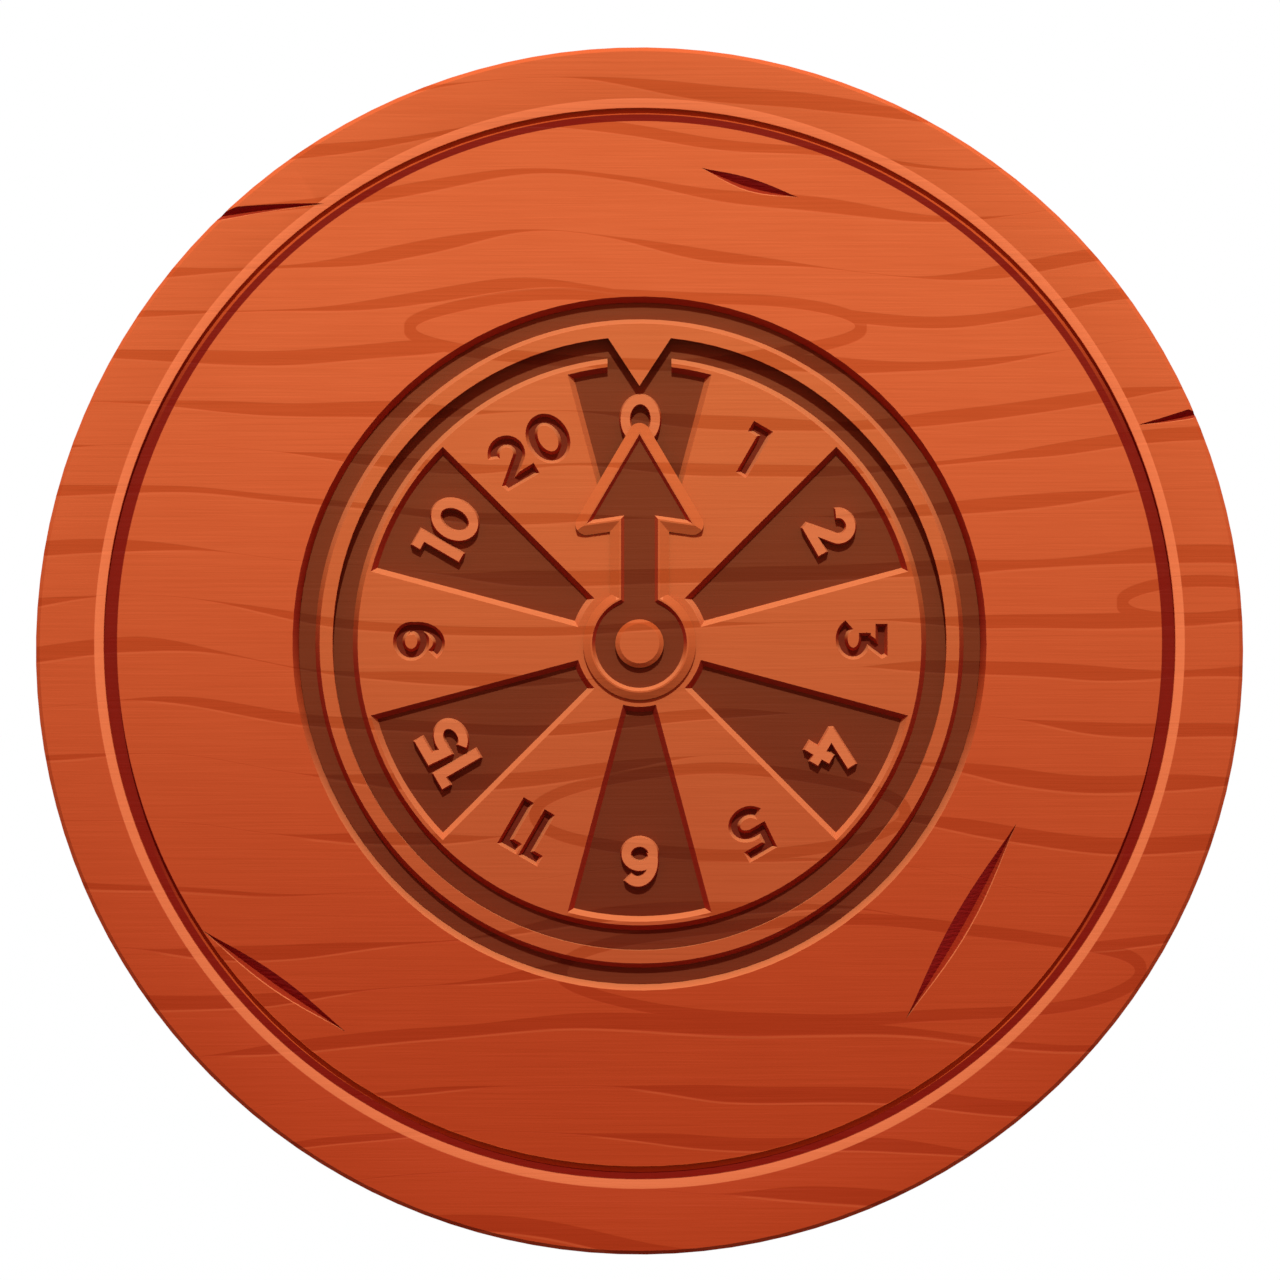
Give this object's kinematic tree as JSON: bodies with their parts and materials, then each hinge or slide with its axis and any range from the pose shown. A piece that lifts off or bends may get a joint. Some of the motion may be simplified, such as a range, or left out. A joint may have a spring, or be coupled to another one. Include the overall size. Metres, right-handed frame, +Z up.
{
  "type": "carnival game wheel",
  "caption": "Round wooden wall board with a number wheel that turns in a sunken well, a fixed ring with a V pointer, and a carved spinner hand on the same spindle.",
  "frame": {"origin": "on the axis of the spindle, in the plane of the wall that the backs of the battens lie against", "axes": "+Y into the wall along the spindle's axis, so the dial faces -Y; +Z up towards the V pointer; +X to the right as seen from the front"},
  "size_m": [0.5999, 0.0685, 0.6],
  "materials": {
    "board_wood": "stained and oiled, red-brown",
    "wheel_wood": "stained and oiled, recesses darker",
    "hand_wood": "stained and oiled, carving darker",
    "batten_wood": "planed, bare",
    "steel": "turned, zinc plated",
    "brass": "turned",
    "fibre": "pressed fibre"
  },
  "bodies": {
    "board": {"backboard": "board_wood", "left_batten": "batten_wood", "right_batten": "batten_wood", "batten_screws": "steel", "wall_inserts": "brass", "pointer_ring": "board_wood", "ring_screws": "steel", "spindle": "steel", "flange_screws": "steel", "thrust_washer": "fibre", "shoulder_washer": "steel", "friction_washer": "fibre", "spring_washer": "steel", "lock_nut": "steel", "spindle_cap": "hand_wood"},
    "wheel": {"number_wheel": "wheel_wood", "rear_bush": "brass", "front_bush": "brass"},
    "hand": {"spinner_hand": "hand_wood", "hand_bush": "brass"}
  },
  "joints": [
    {"name": "wheel_spin", "type": "hinge", "parent": "board", "child": "wheel", "pos_m": [0, 0, 0], "axis": [0, 1, 0], "continuous": true},
    {"name": "hand_spin", "type": "hinge", "parent": "board", "child": "hand", "pos_m": [0, 0, 0], "axis": [0, 1, 0], "continuous": true}
  ]
}
